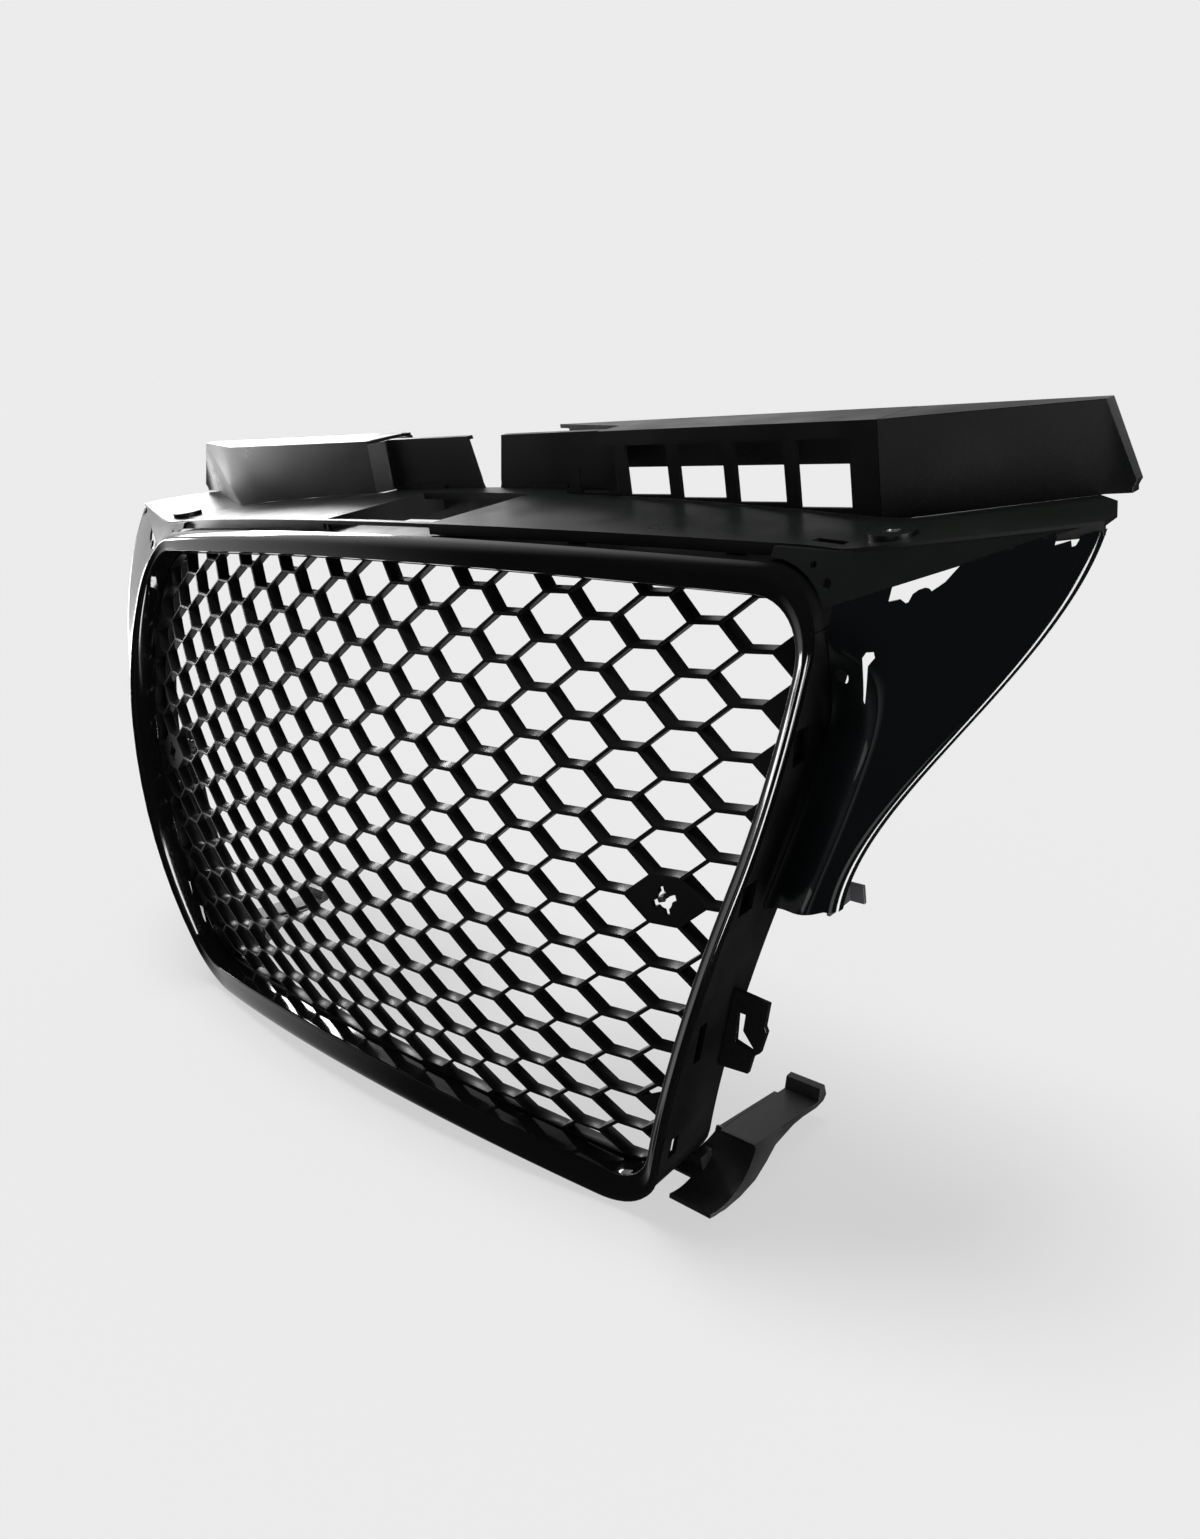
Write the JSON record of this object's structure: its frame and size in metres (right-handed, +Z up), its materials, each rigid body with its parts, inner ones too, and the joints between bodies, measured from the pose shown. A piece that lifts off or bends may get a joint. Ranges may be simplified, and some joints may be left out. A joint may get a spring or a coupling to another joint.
{
  "type": "front grille",
  "caption": "Car front grille: curved honeycomb mesh in a gloss bezel, hung from an upper carrier with air ducts, side wings and lower arms.",
  "frame": {"origin": "midway between the two upper screw sleeves, on their top faces", "axes": "+X to the right seen from the front, +Y towards the rear of the car, +Z up; the grille faces -Y"},
  "size_m": [0.884, 0.2429, 0.4164],
  "materials": {
    "bezel_gloss": "piano black lacquer",
    "mesh_satin": "satin black paint",
    "rail_gloss": "smooth black moulding",
    "carrier_grain": "fine grained black moulding with a slight sheen",
    "wing_gloss": "smooth black moulding",
    "arm_grain": "fine grained black moulding",
    "clip_black": "black moulding",
    "clip_grey": "natural grey moulding",
    "screw_steel": "zinc plated steel"
  },
  "bodies": {
    "root": {"bezel_frame": "bezel_gloss", "honeycomb_insert": "mesh_satin", "plate_anchors": "clip_grey", "top_rail": "rail_gloss", "bottom_rail": "rail_gloss", "right_side_rail": "rail_gloss", "left_side_rail": "rail_gloss", "upper_carrier": "carrier_grain", "intake_box": "carrier_grain", "right_horn": "carrier_grain", "left_pod": "carrier_grain", "right_wing": "wing_gloss", "left_wing": "wing_gloss", "right_side_clip": "clip_black", "left_side_clip": "clip_black", "right_lower_arm": "arm_grain", "left_lower_arm": "arm_grain", "right_wing_clip": "clip_grey", "left_wing_clip": "clip_grey", "insert_screws": "screw_steel", "rail_screws": "screw_steel", "arm_screws": "screw_steel", "fixing_sleeves": "screw_steel"}
  },
  "joints": []
}
